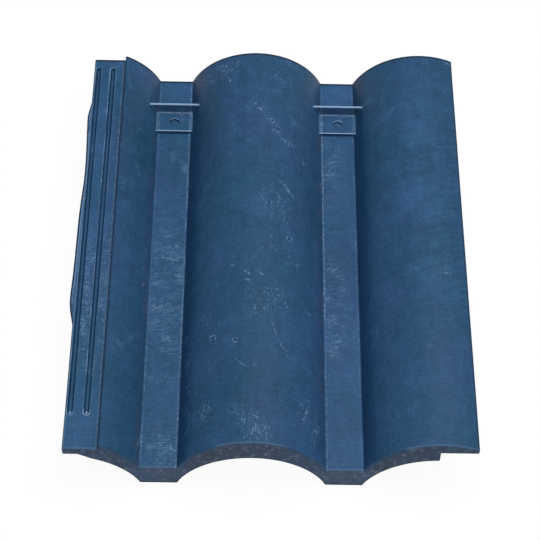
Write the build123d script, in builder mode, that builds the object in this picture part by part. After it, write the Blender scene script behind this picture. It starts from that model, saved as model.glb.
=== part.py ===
"""Interlocking barrel roof tile, cast in concrete as one piece.

Two barrels run down the tile between two flat water channels, the pans.  The left side carries
half a barrel and a thin flange with two grooves, which goes under the neighbouring tile's right
barrel.  X runs across the tile, Y up the roof from the tail to the head, and Z up.  The origin is
the middle of the tile's footprint, on the level that it rests on.
"""

from build123d import *

import os
from math import radians, sqrt, tan

# Overall run of the section
LENGTH = 420.0  # tail to head
PITCH = 150.0  # crown to crown
BARREL_RADIUS = 65.0  # outer face of a barrel
BARREL_RISE = 40.0  # crown above the pans
WALL = 10.0
COVER_REACH = 30.0  # last crown to the tile's right edge

# The nose is the deep lip along the tail, which sits on the tile below
NOSE_DEPTH = 23.5  # straight down from the top face
NOSE_FOOT = 12.0  # its length along the tile, at the bottom
NOSE_DRAFT = 15.0  # degrees, on its hidden inner face

# Side lap: the flange on the left goes under the next tile's cover on the right
LAP_CLEARANCE = 0.5
FLANGE_WIDTH = 28.5
FLANGE_THICKNESS = 8.5
COVER_THICKENING = 2.0  # the cover is this much thicker than the wall at its crown
NOTCH_FROM_CROWN = 0.4  # the nose is cut away for the neighbour's flange from here
HEEL_FLAT = 12.0  # flat part of the nose under the flange
HEEL_RUN_OUT = 23.0  # where that flat has run into the nose's arch

# Grooves in the flange, and the ribs under the cover that drop into them
GROOVE_OFFSETS = (4.2, 17.4)  # centre lines from the left edge
GROOVE_WIDTH = 4.2
GROOVE_DEPTH = 3.5  # to the lowest line of its half-round floor
GROOVE_TAIL_STOP = 32.0  # rounded end from the tail
GROOVE_HEAD_STOP = 11.0
RIB_SIDE_CLEARANCE = 0.7
RIB_END_CLEARANCE = 3.0
RIB_BOTTOM_CLEARANCE = 1.0

# Head of the pans: weather bar, raised nail pad and the nail's starting hole
BAR_SETBACK = 42.0  # bar's front face from the head
BAR_THICKNESS = 2.6
BAR_ROUNDING = 0.9
PAD_LENGTH = 23.5
PAD_HEIGHT = 3.4
NAIL_HOLE_SETBACK = 54.5  # from the head
NAIL_HOLE_RADIUS = 4.2
NAIL_HOLE_DEPTH = 2.0

# Nibs under the head of each pan, which hook over the batten
NIB_SETBACK = 25.0  # bearing face from the head
NIB_FOOT = 9.0  # length along the tile, at the bottom
NIB_ROOT = 15.0
NIB_WIDTH = 30.0
NIB_EDGE = 2.0  # rounding round its foot

# Small roundings of the section, and bevels of the end faces' top arrises
PAN_CORNER = 1.5
LONG_ARRIS = 1.3
TAIL_ARRIS = 0.8
HEAD_ARRIS = 0.5

# Casting flash along the flange: share of the length from the tail, and how far it stands out
FLASH_THICKNESS = 3.0
FLASH_ROOT = 1.0  # how far it reaches into the flange
FLASH_OUTLINE = (
    (0.283, 0.0),
    (0.293, 0.7),
    (0.319, 2.9),
    (0.381, 3.5),
    (0.469, 2.8),
    (0.600, 1.9),
    (0.655, 0.8),
    (0.738, 1.2),
    (0.810, 2.3),
    (0.833, 2.4),
    (0.857, 0.9),
    (0.871, 0.0),
)

# Levels
pan_top = NOSE_DEPTH
pan_under = pan_top - WALL
crown_top = pan_top + BARREL_RISE
cover_under = crown_top - WALL - COVER_THICKENING
flange_top = cover_under - LAP_CLEARANCE
flange_under = flange_top - FLANGE_THICKNESS
bar_top = pan_top + NOSE_DEPTH - WALL - LAP_CLEARANCE
pad_top = pan_top + PAD_HEIGHT
barrel_centre = crown_top - BARREL_RADIUS
nose_centre = barrel_centre - NOSE_DEPTH

# Places across the tile
width = 2 * PITCH + COVER_REACH
left = -width / 2
right = width / 2
crowns = [left + PITCH * step for step in range(3)]
pans = [left + PITCH * (step + 0.5) for step in range(2)]
last_crown = crowns[-1]
flange_step = left + FLANGE_WIDTH

# Places along the tile
tail = -LENGTH / 2
head = LENGTH / 2

NEAR = 0.1  # how closely edges and corners are picked by their place


def cross_section(y):
    """Plane across the tile at y, facing the tail: an extrusion from it runs down the roof."""
    return Plane.XZ.offset(-y)


def arch_height(offset, radius, centre):
    """Height of an arch at a distance from its crown's centre line."""
    return centre + sqrt(radius**2 - offset**2)


def top_edges(end_face):
    """Edges of an end face along the pans, the flange and the barrels' outer face."""
    flats = [
        edge
        for edge in end_face.edges().filter_by(GeomType.LINE)
        if min(abs(edge.center().Z - pan_top), abs(edge.center().Z - flange_top)) < NEAR
    ]
    arches = [
        edge
        for edge in end_face.edges().filter_by(GeomType.CIRCLE)
        if abs(edge.arc_center.Z - barrel_centre) < NEAR and abs(edge.radius - BARREL_RADIUS) < NEAR
    ]
    return flats + arches


def block(x_low, z_low, x_high, z_high, mode=Mode.ADD):
    """Rectangle in a cross section, given by two opposite corners."""
    with Locations(((x_low + x_high) / 2, (z_low + z_high) / 2)):
        Rectangle(x_high - x_low, z_high - z_low, mode=mode)


def circles(centre, radius, mode=Mode.ADD):
    """A circle on each barrel's centre line."""
    with Locations(*[(x, centre) for x in crowns]):
        Circle(radius, mode=mode)


def round_run(run_width, depth, length):
    """Straight run hanging below XY, with a half-round floor and round ends, centred along Y."""
    radius = run_width / 2
    straight = length - run_width
    wall = depth - radius
    with BuildPart() as run:
        with BuildSketch(cross_section(straight / 2)):
            block(-radius, -wall, radius, 0)
            with Locations((0, -wall)):
                Circle(radius)
        extrude(amount=straight)
        with BuildSketch(cross_section(straight / 2)):
            block(0, -wall, radius, 0)
            with Locations((0, -wall)):
                Circle(radius)
            block(-radius, -depth, 0, 0, mode=Mode.SUBTRACT)
            block(0, 0, radius, radius, mode=Mode.SUBTRACT)
        revolve(axis=Axis((0, straight / 2, 0), (0, 0, 1)), revolution_arc=180)
        mirror(about=Plane.XZ)
    return run.part


groove_length = LENGTH - GROOVE_TAIL_STOP - GROOVE_HEAD_STOP
groove_middle = (GROOVE_TAIL_STOP - GROOVE_HEAD_STOP) / 2
groove = round_run(GROOVE_WIDTH, GROOVE_DEPTH, groove_length)
rib = round_run(
    GROOVE_WIDTH - 2 * RIB_SIDE_CLEARANCE,
    GROOVE_DEPTH + LAP_CLEARANCE - RIB_BOTTOM_CLEARANCE,
    groove_length - 2 * RIB_END_CLEARANCE,
)

with BuildPart() as roof_tile:
    # Nose, as deep as the next tile's top face needs, with a drafted inner face.  Its upper side
    # ends inside the shell's wall.
    nose_slope = tan(radians(NOSE_DRAFT))
    nose_length = NOSE_FOOT + crown_top * nose_slope
    with BuildSketch(cross_section(tail + nose_length)) as nose_section:
        block(left, 0, right, pan_top - WALL / 2)
        circles(barrel_centre, BARREL_RADIUS - WALL / 2)
        block(left, 0, right, crown_top, mode=Mode.INTERSECT)
        circles(nose_centre, BARREL_RADIUS, mode=Mode.SUBTRACT)
        block(left, flange_top - FLANGE_THICKNESS / 2, flange_step, crown_top, mode=Mode.SUBTRACT)
        block(last_crown - NOTCH_FROM_CROWN, 0, right, cover_under, mode=Mode.SUBTRACT)
        run_out_height = arch_height(HEEL_RUN_OUT, BARREL_RADIUS, nose_centre)
        with BuildLine():
            Polyline(
                (left, 0),
                (left, flange_under),
                (left + HEEL_FLAT, flange_under),
                (left + HEEL_RUN_OUT, run_out_height),
                (left + HEEL_RUN_OUT, 0),
                close=True,
            )
        make_face(mode=Mode.SUBTRACT)
    extrude(amount=nose_length)
    with BuildSketch(Plane.YZ.offset(left)) as nose_draft:
        with BuildLine():
            Polyline(
                (tail + NOSE_FOOT, 0),
                (tail + nose_length, crown_top),
                (tail + nose_length, 0),
                close=True,
            )
        make_face()
    extrude(amount=width, mode=Mode.SUBTRACT)

    # Shell: barrels and pans of one wall, the flange on the left and the cover on the right
    with BuildSketch(cross_section(head)) as shell_section:
        block(left, pan_under, right, pan_top)
        circles(barrel_centre, BARREL_RADIUS)
        circles(barrel_centre, BARREL_RADIUS - WALL, mode=Mode.SUBTRACT)
        block(left, pan_under, right, crown_top, mode=Mode.INTERSECT)
        block(left, flange_top, flange_step, crown_top, mode=Mode.SUBTRACT)
        flange_root = sqrt((BARREL_RADIUS - WALL) ** 2 - (flange_under - barrel_centre) ** 2)
        block(left, flange_under, left + flange_root, flange_top)
        cover_root = sqrt((BARREL_RADIUS - WALL) ** 2 - (cover_under - barrel_centre) ** 2)
        cover_edge_top = arch_height(COVER_REACH, BARREL_RADIUS, barrel_centre)
        block(last_crown - cover_root, cover_under, right, cover_edge_top)
        block(last_crown, pan_under, right, cover_under, mode=Mode.SUBTRACT)
        pan_corners = shell_section.vertices().filter_by_position(Axis.Y, pan_top - NEAR, pan_top + NEAR)
        fillet(pan_corners, PAN_CORNER)
        arrises = (
            Vector(left, flange_top),
            Vector(flange_step, arch_height(FLANGE_WIDTH, BARREL_RADIUS, barrel_centre)),
            Vector(right, cover_edge_top),
        )
        corners = [shell_section.vertices().sort_by_distance(place)[0] for place in arrises]
        fillet(corners, LONG_ARRIS)
    extrude(amount=LENGTH)

    # Grooves in the flange and the ribs under the cover that fit the next tile's grooves
    with Locations(*[(left + offset, groove_middle, flange_top) for offset in GROOVE_OFFSETS]):
        add(groove, mode=Mode.SUBTRACT)
    with Locations(*[(left + 2 * PITCH + offset, groove_middle, cover_under) for offset in GROOVE_OFFSETS]):
        add(rib)

    # Weather bars and nail pads, each from one barrel's flank to the next
    bar_front = head - BAR_SETBACK
    bar_back = bar_front + BAR_THICKNESS
    pad_front = bar_front - PAD_LENGTH
    fills = (
        (pad_front, bar_front + BAR_THICKNESS / 2, pad_top),
        (bar_front, bar_back, bar_top),
    )
    for front, back, top in fills:
        with BuildSketch(cross_section(back)) as fill_section:
            with Locations(*[(x, (pan_under + top) / 2) for x in pans]):
                Rectangle(PITCH, top - pan_under)
            circles(barrel_centre, BARREL_RADIUS - WALL / 2, mode=Mode.SUBTRACT)
        extrude(amount=back - front)
    bar_edges = roof_tile.edges().filter_by(Axis.X)
    fillet(bar_edges.filter_by_position(Axis.Z, bar_top - NEAR, bar_top + NEAR), BAR_ROUNDING)
    with BuildSketch(Plane.XY.offset(pad_top)) as nail_holes:
        with Locations(*[(x, head - NAIL_HOLE_SETBACK) for x in pans]):
            Circle(NAIL_HOLE_RADIUS)
    extrude(amount=-NAIL_HOLE_DEPTH, mode=Mode.SUBTRACT)

    # Nibs: an upright bearing face for the batten, and a sloping back
    nib_face = head - NIB_SETBACK
    for x in pans:
        with BuildSketch(Plane.YZ.offset(x - NIB_WIDTH / 2)) as nib_profile:
            with BuildLine():
                Polyline(
                    (nib_face, pan_top - WALL / 2),
                    (nib_face, 0),
                    (nib_face + NIB_FOOT, 0),
                    (nib_face + NIB_ROOT, pan_under),
                    (nib_face + NIB_ROOT, pan_top - WALL / 2),
                    close=True,
                )
            make_face()
        extrude(amount=NIB_WIDTH)
    nib_feet = roof_tile.edges().filter_by_position(Axis.Y, nib_face - NEAR, head)
    fillet(nib_feet.filter_by_position(Axis.Z, -NEAR, NEAR), NIB_EDGE)

    # Flash that ran out of the mould along the flange
    with BuildSketch(Plane.XY.offset(flange_top)) as flash:
        with BuildLine():
            edge = Spline([(left - out, tail + share * LENGTH) for share, out in FLASH_OUTLINE])
            Polyline(edge @ 1, (left + FLASH_ROOT, (edge @ 1).Y), (left + FLASH_ROOT, (edge @ 0).Y), edge @ 0)
        make_face()
    extrude(amount=-FLASH_THICKNESS)

    # Broken top arrises of the tail and the head
    end_faces = roof_tile.faces().filter_by(Axis.Y).sort_by(Axis.Y)
    chamfer(top_edges(end_faces[0]), TAIL_ARRIS)
    end_faces = roof_tile.faces().filter_by(Axis.Y).sort_by(Axis.Y)
    chamfer(top_edges(end_faces[-1]), HEAD_ARRIS)

roof_tile.part.label = "roof_tile"
os.makedirs("parts", exist_ok=True)
export_step(roof_tile.part, "parts/roof_tile.step")
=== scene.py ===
"""Interlocking barrel roof tile, cast in concrete with a blue coated face, on a plain white floor."""

from functools import reduce
from math import atan2, cos, hypot, radians, sin, sqrt

import bmesh
import bpy
from mathutils import Matrix, Vector, noise


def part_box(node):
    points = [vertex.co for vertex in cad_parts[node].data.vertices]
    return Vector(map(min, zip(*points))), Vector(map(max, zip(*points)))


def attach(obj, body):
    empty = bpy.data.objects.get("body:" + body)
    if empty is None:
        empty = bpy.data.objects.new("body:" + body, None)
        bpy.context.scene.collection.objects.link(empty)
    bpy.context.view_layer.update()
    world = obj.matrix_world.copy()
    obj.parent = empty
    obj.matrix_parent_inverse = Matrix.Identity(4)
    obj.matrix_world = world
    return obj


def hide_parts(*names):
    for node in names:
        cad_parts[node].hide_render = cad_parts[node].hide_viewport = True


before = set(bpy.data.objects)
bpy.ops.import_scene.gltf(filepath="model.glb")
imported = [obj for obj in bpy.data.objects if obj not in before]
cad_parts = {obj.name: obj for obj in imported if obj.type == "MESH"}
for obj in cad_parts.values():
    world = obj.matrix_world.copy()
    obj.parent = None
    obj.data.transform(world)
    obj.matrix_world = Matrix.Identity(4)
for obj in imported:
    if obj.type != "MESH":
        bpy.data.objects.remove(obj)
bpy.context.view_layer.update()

# Camera.
# It stands in front of the tail and looks down on the tile, as the photograph does.
CAMERA_PLACE = (-0.01963, -0.94661, 1.27134)
CAMERA_LENS = 119.92  # mm, on a sensor 36 mm wide
CAMERA_TURN = 0.0197  # radians, to the right of straight up the roof
CAMERA_PITCH = 0.9271  # radians below the horizon
CAMERA_ROLL = 0.0315

forward = Vector((
    sin(CAMERA_TURN) * cos(CAMERA_PITCH),
    cos(CAMERA_TURN) * cos(CAMERA_PITCH),
    -sin(CAMERA_PITCH),
))
level_right = Vector((cos(CAMERA_TURN), -sin(CAMERA_TURN), 0))
level_up = level_right.cross(forward)
camera_right = cos(CAMERA_ROLL) * level_right + sin(CAMERA_ROLL) * level_up
camera_up = -sin(CAMERA_ROLL) * level_right + cos(CAMERA_ROLL) * level_up
camera = bpy.data.objects.new("camera", bpy.data.cameras.new("camera"))
camera.data.lens = CAMERA_LENS
camera.data.sensor_width = 36
camera.matrix_world = Matrix.Translation(CAMERA_PLACE) @ Matrix(
    (camera_right, camera_up, -forward)
).transposed().to_4x4()
bpy.context.scene.collection.objects.link(camera)
bpy.context.scene.camera = camera

# Floor and light.
# A white sweep under a broad soft lamp straight above the tile, with a weak fill from the tail.
FLOOR_REACH = 4.0
FLOOR_WHITE = 0.80  # what it throws back onto the tile
FLOOR_GREY = 0.06  # the part of its white that takes shadows, as seen
FLOOR_GLOW = 0.95  # the part that only the camera and reflections see
KEY_PLACE = (0.50, 0.15, 2.15)
KEY_SIZE = 1.6
KEY_POWER = 35.5
FILL_PLACE = (-0.3, -1.8, 1.6)
FILL_SIZE = 1.6
FILL_POWER = 5.0
ROOM_LIGHT = 0.30


class Socket:
    """One output in a node tree: arithmetic on it adds Math nodes, and make adds any other node."""

    def __init__(self, tree, output=None):
        self.tree = tree
        self.output = output

    def make(self, kind, settings=None, sockets=None, output=0):
        node = self.tree.nodes.new(kind)
        for name, value in (settings or {}).items():
            setattr(node, name, value)
        for name, value in (sockets or {}).items():
            if isinstance(value, Socket):
                self.tree.links.new(value.output, node.inputs[name])
            else:
                node.inputs[name].default_value = value
        return Socket(self.tree, node.outputs[output] if node.outputs else None)

    def math(self, operation, *operands):
        return self.make("ShaderNodeMath", {"operation": operation}, dict(enumerate(operands)))

    def split(self):
        """The X, Y and Z of this vector."""
        node = self.make("ShaderNodeSeparateXYZ", sockets={0: self}).output.node
        return [Socket(self.tree, output) for output in node.outputs]

    def __add__(self, other):
        return self.math("ADD", self, other)

    def __radd__(self, other):
        return self.math("ADD", other, self)

    def __sub__(self, other):
        return self.math("SUBTRACT", self, other)

    def __rsub__(self, other):
        return self.math("SUBTRACT", other, self)

    def __mul__(self, other):
        return self.math("MULTIPLY", self, other)

    def __rmul__(self, other):
        return self.math("MULTIPLY", other, self)

    def absolute(self):
        return self.math("ABSOLUTE", self)

    def most(self, other):
        return self.math("MAXIMUM", self, other)

    def least(self, other):
        return self.math("MINIMUM", self, other)

    def root(self):
        return self.math("SQRT", self)

    def rise(self, start, end):
        """0 up to start and 1 from end on, with a smooth way between."""
        return self.make(
            "ShaderNodeMapRange",
            {"interpolation_type": "SMOOTHSTEP"},
            {"Value": self, "From Min": start, "From Max": end},
        )

    def fall(self, start, end):
        """1 up to start and 0 from end on."""
        return self.make(
            "ShaderNodeMapRange",
            {"interpolation_type": "SMOOTHSTEP"},
            {"Value": self, "From Min": start, "From Max": end, "To Min": 1.0, "To Max": 0.0},
        )

    def scale(self, tone):
        """This colour made lighter or darker."""
        return self.make("ShaderNodeVectorMath", {"operation": "SCALE"}, {0: self, "Scale": tone})

    def mix(self, other, share):
        """This colour going over to the other one."""
        return self.make(
            "ShaderNodeMix",
            {"data_type": "RGBA"},
            {"Factor": share, 6: self, 7: other},
            output=2,
        )


sweep = bmesh.new()
bmesh.ops.create_grid(sweep, x_segments=1, y_segments=1, size=FLOOR_REACH)
floor_mesh = bpy.data.meshes.new("floor")
sweep.to_mesh(floor_mesh)
sweep.free()
floor = bpy.data.objects.new("floor", floor_mesh)
bpy.context.scene.collection.objects.link(floor)

white = bpy.data.materials.new("white_sweep")
white.use_nodes = True
white.node_tree.nodes.clear()
paint = Socket(white.node_tree)
camera_ray = paint.make("ShaderNodeLightPath", output=0)
glossy_ray = paint.make("ShaderNodeLightPath", output=3)
transmission_ray = paint.make("ShaderNodeLightPath", output=6)
seen = camera_ray.most(glossy_ray).most(transmission_ray)
matt = paint.make(
    "ShaderNodeBsdfDiffuse",
    sockets={"Color": FLOOR_WHITE - (FLOOR_WHITE - FLOOR_GREY) * seen},
)
glow = paint.make("ShaderNodeEmission", sockets={"Color": (1, 1, 1, 1), "Strength": seen * FLOOR_GLOW})
both = paint.make("ShaderNodeAddShader", sockets={0: matt, 1: glow})
paint.make("ShaderNodeOutputMaterial", sockets={"Surface": both})
floor_mesh.materials.append(white)


def soft_lamp(name, place, size, power):
    lamp = bpy.data.objects.new(name, bpy.data.lights.new(name, "AREA"))
    lamp.data.shape = "DISK"
    lamp.data.size = size
    lamp.data.energy = power
    lamp.location = place
    lamp.rotation_euler = (-Vector(place)).to_track_quat("-Z", "Y").to_euler()
    bpy.context.scene.collection.objects.link(lamp)


soft_lamp("key", KEY_PLACE, KEY_SIZE, KEY_POWER)
soft_lamp("fill", FILL_PLACE, FILL_SIZE, FILL_POWER)

room = bpy.data.worlds.new("room")
room.use_nodes = True
room.node_tree.nodes.clear()
air = Socket(room.node_tree)
camera_ray = air.make("ShaderNodeLightPath", output=0)
backdrop = air.make(
    "ShaderNodeBackground",
    sockets={"Color": (1, 1, 1, 1), "Strength": ROOM_LIGHT + (1 - ROOM_LIGHT) * camera_ray},
)
air.make("ShaderNodeOutputWorld", sockets={"Surface": backdrop})
bpy.context.scene.world = room

# The tile.
# One piece of cast concrete: two rolls and a half, two pans, the flange that the next tile's cover
# lies on, the nose and the nibs. Its weather side is coated blue, and its ends and back are left raw.
PITCH = 0.150  # from crown to crown
BARREL_RADIUS = 0.065
BARREL_RISE = 0.040  # of the crowns over the pans
WALL = 0.010
COVER_REACH = 0.030  # from the last crown to the tile's right edge
FLANGE_WIDTH = 0.0285
FLANGE_DROP = 0.0125  # from the crowns down to the flange
tile_low, tile_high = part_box("roof_tile")
crowns = [tile_high.x - COVER_REACH - roll * PITCH for roll in range(3)]
pans = [crown - PITCH / 2 for crown in crowns[:2]]
pan_half = PITCH / 2 - sqrt(BARREL_RADIUS ** 2 - (BARREL_RADIUS - BARREL_RISE) ** 2)
pan_top = tile_high.z - BARREL_RISE
barrel_centre = tile_high.z - BARREL_RADIUS
flange_top = tile_high.z - FLANGE_DROP
flange_step = crowns[-1] + FLANGE_WIDTH

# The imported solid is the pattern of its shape. Its loose triangles are joined, its flat stretches are
# made whole, and the arrises that it leaves sharp are rounded a little, as they come from the mould.
ALONG_X, ALONG_Y, ALONG_Z = Vector((1, 0, 0)), Vector((0, 1, 0)), Vector((0, 0, 1))
MERGE = 0.00002
FLAT = radians(0.5)
SHARP = radians(40)
ARRIS_ROUNDING = 0.00035
HEAD_MARGIN = 0.002
cast = bmesh.new()
cast.from_mesh(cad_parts["roof_tile"].data)
bmesh.ops.remove_doubles(cast, verts=cast.verts, dist=MERGE)
bmesh.ops.dissolve_limit(cast, angle_limit=FLAT, verts=cast.verts, edges=cast.edges)
rounded = cast.faces.layers.int.new("rounded")
arris = cast.verts.layers.float.new("arris")
wrinkle = cast.verts.layers.float.new("wrinkle")
wrinkled = cast.verts.layers.float.new("wrinkled")
flash = cast.verts.layers.float.new("flash")
arrises = [
    edge for edge in cast.edges
    if edge.is_convex and edge.calc_face_angle(0) > SHARP
    and min(vertex.co.x for vertex in edge.verts) > crowns[-1] + ARRIS_ROUNDING
    and max(vertex.co.y for vertex in edge.verts) < tile_high.y - HEAD_MARGIN
]
rounding = bmesh.ops.bevel(
    cast,
    geom=arrises,
    offset=ARRIS_ROUNDING,
    offset_type="OFFSET",
    segments=2,
    profile=0.5,
    affect="EDGES",
    material=-1,
    clamp_overlap=False,
)
for face in rounding["faces"]:
    face[rounded] = 1
cast.normal_update()

SNAP = 0.3  # share of a strip within which a point counts as on the cut


def divide(faces, across, spacing):
    """Cuts these faces into strips of about this width, square to a direction."""
    reach = [vertex.co.dot(across) for face in faces for vertex in face.verts]
    start, end = min(reach), max(reach)
    strips = round((end - start) / spacing)
    done = []
    for strip in range(1, strips):
        at = start + strip * (end - start) / strips
        corners = dict.fromkeys(vertex for face in faces for vertex in face.verts)
        edges = dict.fromkeys(edge for face in faces for edge in face.edges)
        parted = bmesh.ops.bisect_plane(
            cast,
            geom=[*corners, *edges, *faces],
            dist=spacing * SNAP,
            plane_co=across * at,
            plane_no=across,
        )
        pieces = [part for part in parted["geom"] if isinstance(part, bmesh.types.BMFace)]
        done += [face for face in pieces if face.calc_center_median().dot(across) < at]
        faces = [face for face in pieces if face.calc_center_median().dot(across) >= at]
    return done + faces


# The tail's face and the flats get fine cells, for their rough grain and their wrinkles.
NEAR = 0.0004
ALIGNED = 0.99  # least share of a face's normal along an axis that it is square to
UPWARDS = 0.1  # least upward share of the normal on the weather side
TAIL_CELL = 0.0012
FLAT_CELL = 0.0011
ROLL_CELL = 0.0036
BACK_CELL = 0.0080
tail_faces = [
    face for face in cast.faces
    if face.normal.y < -ALIGNED and face.calc_center_median().y < tile_low.y + NEAR
]
fine = set(divide(divide(tail_faces, ALONG_X, TAIL_CELL), ALONG_Z, TAIL_CELL))
for height in (pan_top, flange_top):
    flat_faces = [
        face for face in cast.faces
        if face.normal.z > ALIGNED and abs(face.calc_center_median().z - height) < NEAR
    ]
    fine.update(divide(divide(flat_faces, ALONG_X, FLAT_CELL), ALONG_Y, FLAT_CELL))
weather_side = [face for face in cast.faces if face not in fine and face.normal.z > UPWARDS]
back = [face for face in cast.faces if face not in fine and face.normal.z <= UPWARDS]
divide(divide(weather_side, ALONG_X, ROLL_CELL), ALONG_Y, ROLL_CELL)
divide(divide(back, ALONG_X, BACK_CELL), ALONG_Y, BACK_CELL)

# Points of the rolls that lie on the pattern's chords go out onto true cylinders.
SAGITTA = 0.00008  # the chords' greatest distance from the cylinder
for crown in crowns:
    for radius in (BARREL_RADIUS, BARREL_RADIUS - WALL):
        for vertex in cast.verts:
            out = Vector((vertex.co.x - crown, 0, vertex.co.z - barrel_centre))
            if abs(out.length - radius) < SAGITTA and vertex.co.z > pan_top / 2:
                vertex.co += out.normalized() * (radius - out.length)

# The cast surface.
# Broad shallow waves everywhere, wrinkles where the slurry dragged on the flats, and a torn grain on
# the tail's face, where the tile was struck off from the next one.
WAVE_DEPTH = 0.00016
WAVE_LENGTH = 0.045
BED = 0.0005  # up to here the tile rests on the floor
GRAIN_DEPTH = 0.00045
GRAIN_LENGTH = 0.0030
RIPPLE_DEPTH = 0.00010
RIPPLE_LENGTH = 0.018  # across the tile
RIPPLE_WIDTH = 0.0032  # along it
WRINKLE_RISE = 0.00026
WRINKLE_LENGTH = 0.013
WRINKLE_WIDTH = 0.0030
WRINKLE_BOW = 0.35  # how far a wrinkle bends down the tile, away from the flat's middle
WRINKLE_SHARPNESS = 6
WRINKLED_FADE = 1.6  # a stretch fades out at this many times its half size
FLASH_START = 0.0003  # the flash stands out from the flange from here
FLASH_REACH = 0.004
WRINKLED = (  # middle and half size of each wrinkled stretch
    (-0.087, -0.038, 0.016, 0.072),
    (-0.083, -0.187, 0.010, 0.020),
    (0.052, -0.055, 0.011, 0.050),
    (0.050, 0.098, 0.009, 0.034),
    (-0.153, -0.065, 0.013, 0.060),
    (-0.141, -0.050, 0.006, 0.050),
)


def wrinkled_at(place):
    """How deep in a wrinkled stretch this place on a flat lies, from 0 to 1."""
    return max(0, min(1, max(
        WRINKLED_FADE - hypot((place.x - x) / half_width, (place.y - y) / half_length)
        for x, y, half_width, half_length in WRINKLED
    )))


def wrinkle_at(place):
    """How far a wrinkle stands up at this place on a flat, from 0 to 1."""
    middle = min(pans + [(crowns[-1] + flange_step) / 2], key=lambda at: abs(place.x - at))
    bowed = place.y + WRINKLE_BOW * abs(place.x - middle)
    drag = noise.noise(Vector((place.x / WRINKLE_LENGTH, bowed / WRINKLE_WIDTH, 0)))
    patch = noise.noise(place / WRINKLE_LENGTH + Vector((0, 0, 7)))
    crest = max(0, 1 - abs(drag) * WRINKLE_SHARPNESS)
    return crest * wrinkled_at(place) * min(1, max(0, 0.45 + 1.6 * patch))


cast.normal_update()
for face in cast.faces:
    if face[rounded]:
        for vertex in face.verts:
            vertex[arris] = 1
on_flats = {
    vertex for face in fine if face.is_valid and face.normal.z > 0.9 for vertex in face.verts
}
on_tail = {
    vertex for face in fine if face.is_valid and face.normal.y < -0.9 for vertex in face.verts
}
flash_rim = [
    vertex.co.copy() for vertex in on_flats
    if vertex.co.x < crowns[-1] - FLASH_START and any(face.normal.z < 0.5 for face in vertex.link_faces)
]
for vertex in on_flats:
    if vertex.co.x < crowns[-1] + FLASH_REACH:
        from_rim = min((vertex.co - place).length for place in flash_rim)
        vertex[flash] = max(0, 1 - from_rim / FLASH_REACH)
moves = []
for vertex in cast.verts:
    if vertex.co.z < BED:
        continue
    out = -WAVE_DEPTH * (1 + noise.noise(vertex.co / WAVE_LENGTH)) / 2
    if vertex in on_flats:
        vertex[wrinkle] = wrinkle_at(vertex.co)
        vertex[wrinkled] = wrinkled_at(vertex.co)
        ripple = noise.noise(Vector((vertex.co.x / RIPPLE_LENGTH, vertex.co.y / RIPPLE_WIDTH, 3)))
        out += WRINKLE_RISE * vertex[wrinkle] + RIPPLE_DEPTH * (ripple - 1)
    if vertex in on_tail:
        out -= GRAIN_DEPTH * max(0, noise.fractal(vertex.co / GRAIN_LENGTH, 0.8, 2.0, 3))
    moves.append((vertex, vertex.normal * out))
for vertex, move in moves:
    vertex.co += move

# Each face gets its finish: the coated one, or the raw one on the ends, the nibs and the back.
COATED, RAW = 0, 1
END_DEPTH = 0.0012
FACES_END = 0.85  # least share of an end face's normal along the tile
FACES_DOWN = -0.15
cast.normal_update()
for face in cast.faces:
    at = face.calc_center_median()
    from_end = min(at.y - tile_low.y, tile_high.y - at.y)
    at_end = from_end < END_DEPTH and abs(face.normal.y) > FACES_END and not face[rounded]
    below_pans = at.z < pan_top - WALL
    under_cover = at.x > crowns[0] - END_DEPTH and at.z < tile_high.z - WALL - END_DEPTH
    raw = at_end or below_pans or under_cover or face.normal.z < FACES_DOWN
    face.material_index = RAW if raw else COATED

tile_mesh = bpy.data.meshes.new("roof_tile_cast")
cast.to_mesh(tile_mesh)
cast.free()
tile_mesh.shade_smooth()
CREASE = radians(38)
tile_mesh.set_sharp_from_angle(angle=CREASE)
tile = bpy.data.objects.new("roof_tile_cast", tile_mesh)
bpy.context.scene.collection.objects.link(tile)
weighted = tile.modifiers.new("weighted_normals", "WEIGHTED_NORMAL")
weighted.keep_sharp = True
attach(tile, "root")
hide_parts("roof_tile")

# The coating.
# A blue slurry, brushed over the fresh tile: cloudy, rubbed through to a chalky tint on arrises, along
# the pans' edges and in crumbly scratches on the middle roll. Its colour is made lighter on the flats,
# and painted shade and painted highlights lie over it.
MM = 0.001
TAPER = 1.15  # a stroke fades out at this many times its half length


def finish(name):
    """A new material on the tile, and the socket of places on it."""
    material = bpy.data.materials.new(name)
    material.use_nodes = True
    material.node_tree.nodes.clear()
    tile_mesh.materials.append(material)
    return Socket(material.node_tree).make("ShaderNodeTexCoord", output=3)


def grains(place, across, along, detail=3.0, roughness=0.5, shift=0.0):
    """Noise from 0 to 1 whose grains have these lengths across and along the tile."""
    spread = place.make(
        "ShaderNodeMapping",
        sockets={
            "Vector": place,
            "Location": (shift, 0, 0),
            "Scale": (1 / across, 1 / along, 1 / across),
        },
    )
    return place.make(
        "ShaderNodeTexNoise",
        sockets={"Vector": spread, "Scale": 1.0, "Detail": detail, "Roughness": roughness},
    )


def length_of(side, along):
    """The distance that these two make at right angles."""
    return (side * side + along * along).root()


def mark(x, y, start, end, half_width):
    """1 along a stroke between two places in plan, all in millimetres, tapering at its ends."""
    middle_x, middle_y = (MM * (a + b) / 2 for a, b in zip(start, end))
    turn = atan2(end[1] - start[1], end[0] - start[0])
    half_length = MM * hypot(end[0] - start[0], end[1] - start[1]) / 2 * TAPER

    def offset(step_x, step_y):
        """How far off the stroke's middle a place lies in one direction, in its half sizes."""
        at_origin = -(step_x * middle_x + step_y * middle_y)
        return x.math("MULTIPLY_ADD", x, step_x, y.math("MULTIPLY_ADD", y, step_y, at_origin))

    ahead = offset(cos(turn) / half_length, sin(turn) / half_length)
    aside = offset(-sin(turn) / (MM * half_width), cos(turn) / (MM * half_width))
    return ahead.math("MULTIPLY_ADD", ahead, ahead, aside * aside).fall(0.05, 0.9)


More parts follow.
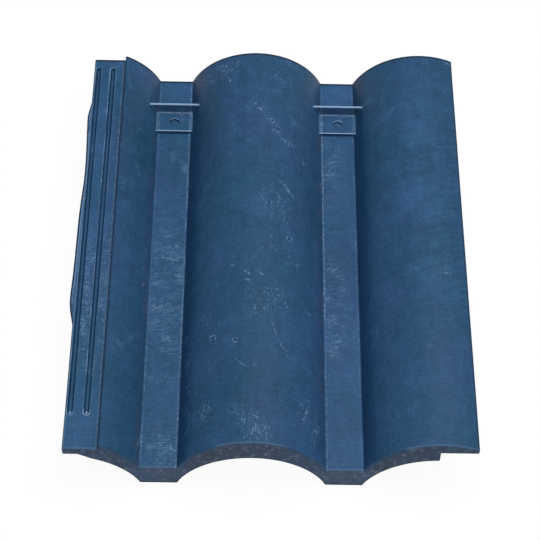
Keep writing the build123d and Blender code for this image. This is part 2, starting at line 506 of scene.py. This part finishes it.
TEAL = (0.021, 0.082, 0.170, 1)
INDIGO = (0.026, 0.079, 0.183, 1)
SHADE_NAVY = (0.001, 0.030, 0.100, 1)
PLUM = (0.050, 0.066, 0.120, 1)
CHALK = (0.16, 0.27, 0.43, 1)
PALE = (0.28, 0.44, 0.66, 1)
SHADOW = (0.004, 0.018, 0.045, 1)
COAT_ROUGHNESS = 0.50
COAT_GLOSS = 0.16
COAT_RELIEF = 0.0004
BAR_FRONT = 168 * MM
PAD_FRONT = 144.5 * MM
bar_top = pan_top + 13 * MM
pad_top = pan_top + 3.4 * MM
NAIL = 155.5 * MM  # its hole's middle, up the roof
NAIL_RADIUS = 4.2 * MM
GROOVES = (-160.8 * MM, -147.6 * MM)
GROOVE_HALF = 2.1 * MM
GROOVE_MIDDLE = 10.5 * MM  # halfway along the grooves, up the roof
GROOVE_REACH = 186.4 * MM  # from there to the middles of its round ends
SCRATCHES = (  # ends, and how far the coat is rubbed through
    ((-24.6, -40.6), (-17.0, -46.1), 0.9),
    ((-12.9, -39.7), (-6.1, -47.6), 0.8),
    ((-34.8, -34.7), (-30.6, -33.4), 0.7),
    ((-25.3, -49.8), (-16.9, -51.3), 0.7),
    ((-16.9, -53.4), (-14.3, -58.5), 0.7),
    ((3.2, -56.3), (5.8, -60.9), 0.7),
    ((8.3, -68.4), (14.2, -73.7), 1.0),
    ((11.7, -73.6), (15.0, -77.4), 0.9),
    ((25.2, -71.5), (36.6, -71.2), 0.5),
    ((-0.8, -88.9), (5.1, -109.9), 0.7),
    ((5.9, -109.7), (15.0, -126.5), 0.7),
    ((-8.3, -80.8), (-5.0, -77.4), 0.7),
    ((-47.4, -104.0), (-45.6, -110.7), 0.8),
    ((-29.8, -129.3), (-20.7, -137.8), 0.7),
    ((-20.7, -137.8), (-11.1, -135.9), 0.6),
    ((3.7, 62.5), (15.2, 53.0), 0.8),
    ((9.9, 55.4), (20.5, 44.5), 0.7),
    ((-41.6, 183.6), (-37.8, 177.3), 0.9),
    ((41.0, 88.0), (44.9, 82.7), 0.6),
    ((24.7, -184.8), (31.3, -160.7), 0.8),
    ((-14.7, -192.6), (-14.6, -206.8), 0.8),
    ((-104.0, 2.5), (-76.0, -2.0), 0.8),
    ((155.0, 207.5), (165.0, 205.0), 1.0),
)
SCRATCH_WIDTH = 1.2  # from its middle line to its edge
SWEEP_TURN = radians(-24)  # of the brush strokes on the right roll
PITS = ((-30.1, -110.9), (-48.3, -104.2), (14.7, -1.6), (-0.5, 128.2))  # craters in the coat
PIT_RIM = 2.1 * MM
NOTCH = ((-86, -3.6), (-72, -4.0))  # a dark nick at the left pan's edge
NOTCH_WIDTH = 0.9
SPECKLED = (  # ends and half width of each speckled stretch, and how thick the specks lie
    ((-68, 200), (-24, 190), 19, 0.85),
    ((-22, 157), (1, 122), 4.5, 0.9),
    ((-1, 127), (9, 110), 7, 1.0),
    ((6, 114), (22, 101), 6, 0.85),
    ((-18, 161), (21, 171), 7, 0.6),
    ((2, 204), (17, 155), 13, 0.55),
    ((6, 150), (28, 145), 11, 0.45),
    ((18, 104), (38, 79), 5, 0.65),
    ((-43, 95), (-35, 88), 5, 0.7),
    ((-10, 58), (18, 4), 17, 0.7),
    ((-14, -4), (15, -22), 13, 0.65),
    ((18, -10), (19, -40), 9, 0.65),
    ((-22, -92), (14, -50), 18, 0.65),
    ((-57, -74), (-52, -96), 6, 0.75),
    ((-59, -158), (-45, -192), 10, 0.8),
    ((-36, -172), (-4, -192), 16, 0.75),
    ((-30, -202), (12, -193), 14, 0.75),
    ((18, -196), (34, -154), 10, 0.75),
    ((38, -150), (34, -206), 7, 0.8),
    ((138, -26), (156, -58), 9, 0.6),
    ((150, 180), (157, 158), 4, 0.7),
    ((-99, 118), (-82, 122), 8, 0.7),
    ((-105, -174), (-105, -204), 4, 1.0),
    ((-82, -184), (-75, -207), 6, 1.0),
    ((-110, 26), (-107, -64), 4, 0.8),
    ((-69, -50), (-66, -204), 5, 0.65),
    ((-155, -20), (-156, -118), 4.5, 1.0),
    ((-142, -2), (-142, -96), 5, 0.75),
)
CLOUDED = (  # ends and half width of each broad patch made lighter or darker, and by how much
    ((-90, 150), (-90, 50), 22, -0.10),
    ((-90, 40), (-90, -110), 22, 0.06),
    ((-90, 215), (-90, 175), 22, 0.12),
    ((60, 215), (60, 172), 22, 0.20),
    ((60, 40), (60, -60), 22, -0.13),
    ((-151, -140), (-151, -220), 20, 0.10),
    ((-55, 190), (-55, 40), 18, -0.14),
    ((28, 190), (28, -40), 16, -0.10),
    ((-128, 190), (-128, 40), 20, -0.12),
    ((116, 126), (143, 100), 22, 0.16),
    ((108, 66), (150, 14), 24, 0.16),
    ((122, -18), (154, -70), 20, 0.14),
    ((120, -120), (140, -200), 30, 0.05),
    ((100, 160), (150, 130), 30, 0.10),
    ((-30, -130), (10, -190), 34, -0.08),
    ((-35, 60), (10, 20), 24, 0.06),
    ((-40, 150), (0, 90), 14, -0.06),
)

place = finish("blue_coated_concrete")
x, y, z = place.split()
up = place.make("ShaderNodeTexCoord", output=1).split()[2]
arris_wear = place.make("ShaderNodeAttribute", {"attribute_name": "arris"}, output=2).rise(0.75, 1.0)
wrinkles = place.make("ShaderNodeAttribute", {"attribute_name": "wrinkle"}, output=2)
wrinkled = place.make("ShaderNodeAttribute", {"attribute_name": "wrinkled"}, output=2)
flash = place.make("ShaderNodeAttribute", {"attribute_name": "flash"}, output=2)
across = place.math("WRAP", x - pans[0], PITCH / 2, -PITCH / 2)  # from the nearest pan's middle
from_pan = across.absolute()
level = up.rise(0.80, 0.93)
in_pan = from_pan.fall(pan_half - 0.2 * MM, pan_half + 0.4 * MM)
on_flange = x.fall(flange_step - 0.6 * MM, flange_step)
flat = in_pan.most(on_flange)
from_middle = (x - crowns[1]).absolute()

cloud = grains(place, 0.055, 0.080, detail=3.0)
mottle = grains(place, 0.010, 0.014, detail=6.0, roughness=0.62, shift=3.0)
speck = grains(place, 0.0022, 0.0026, detail=3.0, roughness=0.6, shift=9.0)
drag = grains(place, 0.028, 0.0028, detail=4.0, roughness=0.6, shift=5.0)
ripple = grains(place, 0.012, 0.0014, detail=2.0, roughness=0.6, shift=13.0)
brush = grains(place, 0.0035, 0.150, detail=3.0, shift=1.0)
patch = grains(place, 0.034, 0.046, detail=4.0, roughness=0.6, shift=17.0)
crumb = grains(place, 0.0017, 0.0024, detail=2.0, shift=21.0)
streak = grains(place, 0.0012, 0.0055, detail=2.0, shift=25.0)
sweep = place.make(
    "ShaderNodeMapping",
    sockets={"Vector": place, "Rotation": (0, 0, SWEEP_TURN)},
)
swept = grains(sweep, 0.026, 0.0032, detail=4.0, roughness=0.6, shift=29.0)

# The slurry's tint, made lighter on the flats; painted shade, darker and bluer, at the foot of the
# flanks on the pans' right; and plum mottling at the foot of the flanks on the left.
tone = 0.95 + 0.12 * flat
tone = tone + 0.26 * (cloud - 0.5) + 0.62 * (mottle - 0.5) + 0.60 * (speck - 0.5)
tone = tone + 0.30 * (crumb - 0.5) + 0.30 * (drag - 0.5) + 0.20 * (brush - 0.5)
tone = tone + 0.40 * flat * (ripple - 0.5)
swept_part = x.rise(crowns[0] - 40 * MM, crowns[0])
swept_part = swept_part * y.rise(-120 * MM, -10 * MM) * y.fall(100 * MM, 160 * MM)
tone = tone + (0.15 + 0.60 * swept_part) * (swept - 0.5)
clouded = 0.0
for start, end, half_width, lift in CLOUDED:
    clouded = lift * mark(x, y, start, end, half_width) + clouded
tone = tone + clouded
blue = place.make("ShaderNodeRGB")
blue.output.default_value = TEAL
blue = blue.mix(INDIGO, cloud.rise(0.35, 0.65))
blue = blue.scale(tone)
# Painted shade: the foot of each flank on a pan's right is darkened toward navy, where the light falls
# off.
right_foot_shade = across.rise(pan_half - 0.3 * MM, pan_half + 0.8 * MM)
right_foot_shade = right_foot_shade * across.fall(pan_half + 4 * MM, pan_half + 14 * MM)
left_foot = across.fall(-pan_half - 1 * MM, -pan_half)
left_foot = left_foot * across.rise(-pan_half - 8 * MM, -pan_half - 2 * MM)
blue = blue.mix(SHADE_NAVY, 0.50 * right_foot_shade * (1 - level))
blue = blue.mix(PLUM, 0.55 * left_foot * (1 - level) * mottle.rise(0.46, 0.60))

# Rubbed edges, scuffed patches, scratches, crumbly specks and the pits' rims; a pale line on the
# flange's outer arris that is partly wear and partly a painted highlight; and a painted highlight along
# the flash's edge.
pan_edge = (from_pan - (pan_half - 0.6 * MM)).absolute().fall(0.4 * MM, 1.3 * MM)
pan_edge = pan_edge * (0.45 + 0.55 * from_middle.fall(62 * MM, 70 * MM))
pan_edge = pan_edge * (0.25 + 0.75 * crumb.rise(0.46, 0.60)) * (0.35 + 0.65 * patch.rise(0.40, 0.56))
step_edge = (x - (flange_step - 1.5 * MM)).absolute().fall(0.4 * MM, 1.2 * MM) * level
step_edge = step_edge * (0.35 + 0.65 * crumb.rise(0.46, 0.60))
# Partly wear, partly a painted highlight: a pale line along the flange's outer arris.
outer_edge = (x - (crowns[-1] + 0.9 * MM)).absolute().fall(0.3 * MM, 0.9 * MM) * level
scuffs = mottle.rise(0.54, 0.68) * patch.rise(0.50, 0.66) * (0.30 + 0.70 * flat)
wobble_x = grains(place, 0.006, 0.006, detail=2.0, shift=33.0)
wobble_y = grains(place, 0.006, 0.006, detail=2.0, shift=37.0)
bent_x = x + 4 * MM * (wobble_x - 0.5)
bent_y = y + 4 * MM * (wobble_y - 0.5)
scratches = reduce(Socket.most, (
    depth * mark(bent_x, bent_y, start, end, SCRATCH_WIDTH) for start, end, depth in SCRATCHES
))
scratches = scratches * crumb.rise(0.44, 0.60)
speckled = 0.16 * patch.rise(0.54, 0.66)
for start, end, half_width, share in SPECKLED:
    speckled = speckled.most(share * mark(bent_x, bent_y, start, end, half_width))
thick = 0.11 * speckled
specks = (0.9 * (crumb + thick).rise(0.64, 0.76)).most((streak + thick).rise(0.66, 0.78))
specks = specks * (0.25 + 0.75 * speckled) * (0.35 + 0.65 * mottle.rise(0.44, 0.60))
from_pit = reduce(Socket.least, (
    length_of(x - pit_x * MM, y - pit_y * MM) for pit_x, pit_y in PITS
))
pit_rim = (from_pit - PIT_RIM).absolute().fall(0.2 * MM, 0.9 * MM) * speck.rise(0.42, 0.56)
worked = ripple.rise(0.52, 0.66) * mottle.rise(0.44, 0.60) * (wrinkled - 0.1).rise(0.0, 0.8)
worked = wrinkles.most(worked)
chalk_and_highlight = (0.75 * pan_edge).most(0.55 * step_edge).most(0.40 * outer_edge).most(0.38 * scuffs)
chalk_and_highlight = chalk_and_highlight.most(0.85 * specks).most(0.9 * scratches)
chalk_and_highlight = chalk_and_highlight.most(0.70 * worked * speck.rise(0.3, 0.6))
# Painted highlight: a pale line along the flash's top, inside its dark rim.
flash_highlight = (flash - 0.48).absolute().fall(0.06, 0.20) * patch.rise(0.32, 0.46)
blue = blue.mix(CHALK, chalk_and_highlight.most(0.7 * flash_highlight).most(0.7 * pit_rim))

# Painted shade, in the SHADOW colour: dark lines at the foot of the step, on the grooves' walls, on the
# flash's rim, in the pits, on the nail holes' far wall, in the nick at the left pan's edge, and along
# the tile's rim.
step_foot = (x - (flange_step + 0.7 * MM)).absolute().fall(0.7 * MM, 1.3 * MM)
from_nail = y - NAIL
nail_reach = length_of(from_pan, from_nail)
far_side = from_nail.rise(-0.5 * MM, 1.5 * MM)
nail_wall = (nail_reach - NAIL_RADIUS + 0.2 * MM).absolute().fall(0.5 * MM, 0.9 * MM) * far_side
nail_wall = nail_wall * z.fall(pad_top - 0.4 * MM, pad_top - 0.2 * MM)
head_rim = y.rise(tile_high.y - 3.1 * MM, tile_high.y - 2.0 * MM)
right_rim = x.rise(tile_high.x - 2.0 * MM, tile_high.x - 1.0 * MM)
notch = mark(x, y, *NOTCH, NOTCH_WIDTH)
left_rim = x.fall(crowns[-1] + 0.4 * MM, crowns[-1] + 1.0 * MM) * (1 - level)
from_groove = (x - GROOVES[0]).absolute().least((x - GROOVES[1]).absolute())
groove_wall = from_groove.rise(0.5 * MM, 1.4 * MM) * z.fall(flange_top - 1.0 * MM, flange_top - 0.4 * MM)
painted_shade = (0.55 * on_flange * groove_wall).most(0.9 * flash.rise(0.62, 0.72))
painted_shade = painted_shade.most(0.6 * from_pit.fall(0.6 * MM, 1.5 * MM)).most(0.40 * step_foot)
painted_shade = painted_shade.most(0.55 * nail_wall).most(0.5 * notch)
painted_shade = painted_shade.most(0.85 * head_rim).most(0.6 * right_rim).most(0.65 * left_rim)
blue = blue.mix(SHADOW, painted_shade)

# Painted highlights, with some real wear: pale lines on the bars' crests, the pads' lips, rears and
# sides and the nail holes' rims;
# a faint painted light on the bars' fronts; the grooves' arrises, partly worn and partly a painted
# highlight, and a painted glint in their round ends; and the worn tail's arris where it runs level.
# Painted light: the bars' fronts face away from the key, and are lifted a little toward the pale colour.
bar_front_light = (y - BAR_FRONT).absolute().fall(0.3 * MM, 0.8 * MM) * up.fall(0.3, 0.7)
bar_front_light = bar_front_light * z.rise(pan_top + 0.5 * MM, pan_top + 1 * MM)
bar_front_light = bar_front_light * z.fall(bar_top - 1.4 * MM, bar_top - 0.8 * MM)
bar_crest_highlight = z.rise(bar_top - 1.0 * MM, bar_top - 0.3 * MM)
bar_crest_highlight = bar_crest_highlight * y.rise(BAR_FRONT - 1 * MM, BAR_FRONT)
bar_crest_highlight = bar_crest_highlight * y.fall(BAR_FRONT + 1.6 * MM, BAR_FRONT + 2.2 * MM)
bar_crest_highlight = bar_crest_highlight * from_pan.fall(pan_half + 6.0 * MM, pan_half + 9.0 * MM)
on_pad = z.rise(pad_top - 0.6 * MM, pad_top - 0.3 * MM) * z.fall(pad_top + 0.2 * MM, pad_top + 0.5 * MM)
on_pad = on_pad * y.rise(PAD_FRONT - 1 * MM, PAD_FRONT - 0.5 * MM)
on_pad = on_pad * y.fall(BAR_FRONT - 0.2 * MM, BAR_FRONT)
on_pad = on_pad * from_pan.fall(pan_half + 1.4 * MM, pan_half + 1.8 * MM)
pad_lip_highlight = on_pad * (y - PAD_FRONT).absolute().fall(0.7 * MM, 1.2 * MM)
pad_rear_highlight = on_pad * y.rise(BAR_FRONT - 2.2 * MM, BAR_FRONT - 1.4 * MM)
pad_side_highlight = on_pad * from_pan.rise(pan_half + 0.2 * MM, pan_half + 0.9 * MM)
nail_rim_highlight = on_pad * from_nail.rise(1.5 * MM, 4 * MM)
nail_rim_highlight = nail_rim_highlight * (nail_reach - NAIL_RADIUS - 0.4 * MM).absolute().fall(0.2 * MM, 0.6 * MM)


def groove_wear_and_glint(groove, wear):
    """The pale line along a groove's arris, partly wear and partly a painted highlight, and a painted
    glint: the bright dot in its round end at the tail.
    """
    side = x - groove
    past_tail = GROOVE_MIDDLE - GROOVE_REACH - y
    past_head = y - (GROOVE_MIDDLE + GROOVE_REACH)
    along = past_tail.most(past_head).most(0.0)
    reach = length_of(side, along)
    edge = (reach - GROOVE_HALF - 0.4 * MM).absolute().fall(0.3 * MM, 0.9 * MM) * level
    broken = (0.35 + 0.65 * crumb.rise(0.45, 0.6)) * (0.15 + 0.65 * patch.rise(0.44, 0.58))
    broken = broken.most(past_tail.rise(-5 * MM, -1 * MM)).most(past_head.rise(-23 * MM, -9 * MM))
    left_side = 0.35 + 0.65 * side.fall(-0.5 * MM, 0.5 * MM)
    left_side = left_side.most(past_tail.rise(-0.5 * MM, 1 * MM))
    end = past_tail + 1.6 * MM
    dot = length_of(side, end).fall(0.6 * MM, 1.5 * MM)
    return (wear * edge * broken * left_side).most(dot)


groove_edge = groove_wear_and_glint(GROOVES[0], 0.45).most(groove_wear_and_glint(GROOVES[1], 0.8))
on_crowns = z.rise(tile_high.z - 9 * MM, tile_high.z - 5 * MM)
tail_arris = arris_wear * on_crowns.most(flat) * y.fall(tile_low.y + 1.0 * MM, tile_low.y + 1.8 * MM)
highlight_and_wear = (0.9 * bar_crest_highlight).most(pad_lip_highlight).most(0.45 * pad_rear_highlight).most(0.3 * pad_side_highlight)
highlight_and_wear = highlight_and_wear.most(0.55 * nail_rim_highlight).most(0.8 * groove_edge).most(0.15 * tail_arris)
highlight_and_wear = highlight_and_wear.most(0.08 * bar_front_light)
blue = blue.mix(PALE, highlight_and_wear)

rough = COAT_ROUGHNESS + 0.16 * (mottle - 0.5) + 0.10 * chalk_and_highlight
relief = 0.45 * mottle + 0.35 * speck + 0.30 * drag + 0.15 * ripple + 0.20 * crumb
bump = place.make(
    "ShaderNodeBump",
    sockets={"Strength": 0.7, "Distance": COAT_RELIEF, "Height": relief},
)
shader = place.make(
    "ShaderNodeBsdfPrincipled",
    sockets={
        "Base Color": blue,
        "Roughness": rough,
        "Specular IOR Level": COAT_GLOSS,
        "Normal": bump,
    },
)
place.make("ShaderNodeOutputMaterial", sockets={"Surface": shader})

# The raw concrete.
# Through-tinted a dull grey blue: torn and speckled on the struck ends, where some of the coating ran
# over from the flanks, and smoother on the back, with the pits and pale bloom that the pallet leaves.
STONE = (0.060, 0.092, 0.145, 1)
STONE_BLUE = (0.042, 0.084, 0.155, 1)
STONE_PALE = (0.30, 0.35, 0.43, 1)
STONE_SHADE = (0.014, 0.020, 0.032, 1)
STONE_ROUGHNESS = 0.72
STONE_RELIEF = 0.0005
CHIP_SPACING = 0.0036
NOSE_DROP = 0.0235  # from the rolls' axis down to the nose arches' axis

place = finish("raw_concrete")
x, y, z = place.split()
from_crown = place.math("WRAP", x - crowns[0], PITCH / 2, -PITCH / 2).absolute()
bloom = grains(place, 0.040, 0.060, detail=4.0, roughness=0.6)
sand = grains(place, 0.0014, 0.0014, detail=3.0, roughness=0.7, shift=4.0)
torn = grains(place, 0.0060, 0.0060, detail=5.0, roughness=0.68, shift=8.0)
tone = 1.0 + 0.7 * (sand - 0.5) + 1.6 * (torn - 0.5) + 0.6 * (bloom - 0.5)
# Painted light: the raw faces are made lighter low down, toward the floor, as if lit from it.
tone = tone + 0.35 * z.fall(16 * MM, 26 * MM)
stone = place.make("ShaderNodeRGB")
stone.output.default_value = STONE
stone = stone.mix(STONE_BLUE, (0.6 * bloom.rise(0.4, 0.62)).most(0.7 * x.rise(0.10, 0.15)))
stone = stone.scale(tone)
dots = place.make(
    "ShaderNodeTexVoronoi",
    {"feature": "F1"},
    {"Vector": place, "Scale": 1 / CHIP_SPACING},
)
tail_face = y.fall(tile_low.y + 1 * MM, tile_low.y + 3 * MM)
chips = 0.38 * dots.fall(0.12, 0.32) * torn.rise(0.48, 0.60)
torn_up = tail_face * torn.rise(0.54, 0.64) * sand.rise(0.42, 0.58)
stone = stone.mix(STONE_PALE, chips.most(0.6 * torn_up))
height = z - barrel_centre
from_axis = length_of(from_crown, height)
run_over = from_axis.rise(BARREL_RADIUS - 7 * MM, BARREL_RADIUS - 1 * MM)
run_over = run_over * from_crown.rise(22 * MM, 34 * MM) * from_crown.fall(54 * MM, 59 * MM)
stone = stone.mix(TEAL, 0.65 * tail_face * run_over * torn.rise(0.30, 0.52))
# Painted shade: the tail's face is darkened along the rims of the nose's arches and along its foot on
# the floor.
drop = height + NOSE_DROP
from_nose_axis = length_of(from_crown, drop)
lower_rim_shade = (from_nose_axis - BARREL_RADIUS).fall(0.6 * MM, 1.8 * MM)
lower_rim_shade = lower_rim_shade.most(z.fall(0.6 * MM, 2.0 * MM))
stone = stone.mix(STONE_SHADE, 0.6 * tail_face * lower_rim_shade)
bump = place.make(
    "ShaderNodeBump",
    sockets={"Strength": 0.8, "Distance": STONE_RELIEF, "Height": 0.6 * torn + 0.4 * sand},
)
shader = place.make(
    "ShaderNodeBsdfPrincipled",
    sockets={
        "Base Color": stone,
        "Roughness": STONE_ROUGHNESS,
        "Specular IOR Level": COAT_GLOSS,
        "Normal": bump,
    },
)
place.make("ShaderNodeOutputMaterial", sockets={"Surface": shader})

bpy.context.scene.view_settings.view_transform = "Standard"
